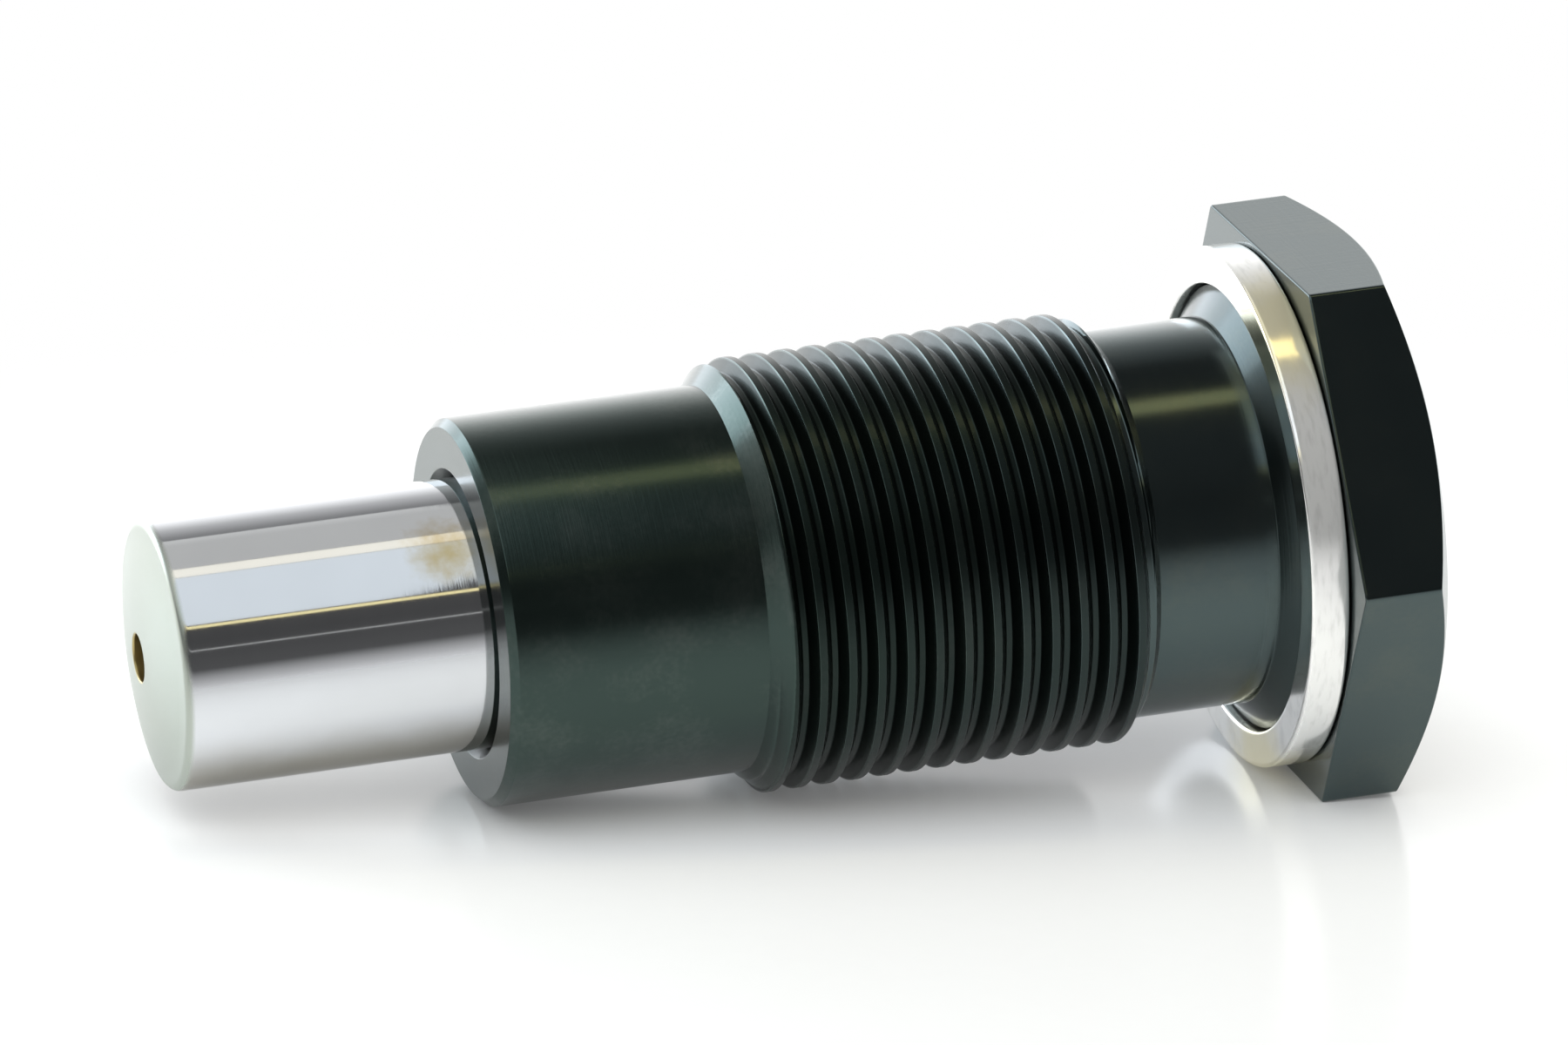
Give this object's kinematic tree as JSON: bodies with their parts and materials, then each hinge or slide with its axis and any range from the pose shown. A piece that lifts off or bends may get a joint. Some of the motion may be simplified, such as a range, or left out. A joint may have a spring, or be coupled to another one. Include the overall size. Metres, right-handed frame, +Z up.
{
  "type": "timing chain tensioner",
  "caption": "Screw-in hydraulic chain tensioner: hexagon head, sealing washer, threaded steel body and a sprung sliding plunger with an oil hole in its tip.",
  "frame": {"origin": "middle of the bounding box, on the floor that the part lies on", "axes": "+Z up, tip towards -X and head towards +X, the tensioner's axis in the XZ plane and inclined 5.13 degrees with the tip low"},
  "size_m": [0.0648, 0.0312, 0.0273],
  "materials": {
    "black_oxide_steel": "satin black oxide over turned steel, lightly oiled",
    "washer_aluminium": "soft bright aluminium with rounded rims",
    "ground_steel": "ground and polished hardened steel",
    "ring_spring_steel": "plain spring steel wire",
    "spring_wire": "oiled patented spring wire",
    "filler_polyamide": "moulded natural polyamide",
    "hardened_seat_steel": "hardened and ground steel",
    "bearing_ball_steel": "polished bearing ball",
    "cage_sheet_steel": "pressed sheet steel"
  },
  "bodies": {
    "housing": {"tensioner_body": "black_oxide_steel", "sealing_washer": "washer_aluminium", "valve_seat": "hardened_seat_steel", "valve_cage": "cage_sheet_steel", "valve_spring": "spring_wire", "main_spring": "spring_wire"},
    "piston": {"plunger": "ground_steel", "retaining_ring": "ring_spring_steel", "volume_filler": "filler_polyamide"},
    "valve_ball": {"check_ball": "bearing_ball_steel"}
  },
  "joints": [
    {"name": "plunger_slide", "type": "slide", "parent": "housing", "child": "piston", "axis": [0.996, 0, 0.0895], "range_m": [0, 0.011], "stiffness_N_per_m": 1500, "springref_m": -0.02, "deforming": ["main_spring"]},
    {"name": "check_ball_lift", "type": "slide", "parent": "housing", "child": "valve_ball", "axis": [-0.996, 0, -0.0895], "range_m": [0, 0.0005], "stiffness_N_per_m": 60, "springref_m": -0.003, "deforming": ["valve_spring"]}
  ]
}
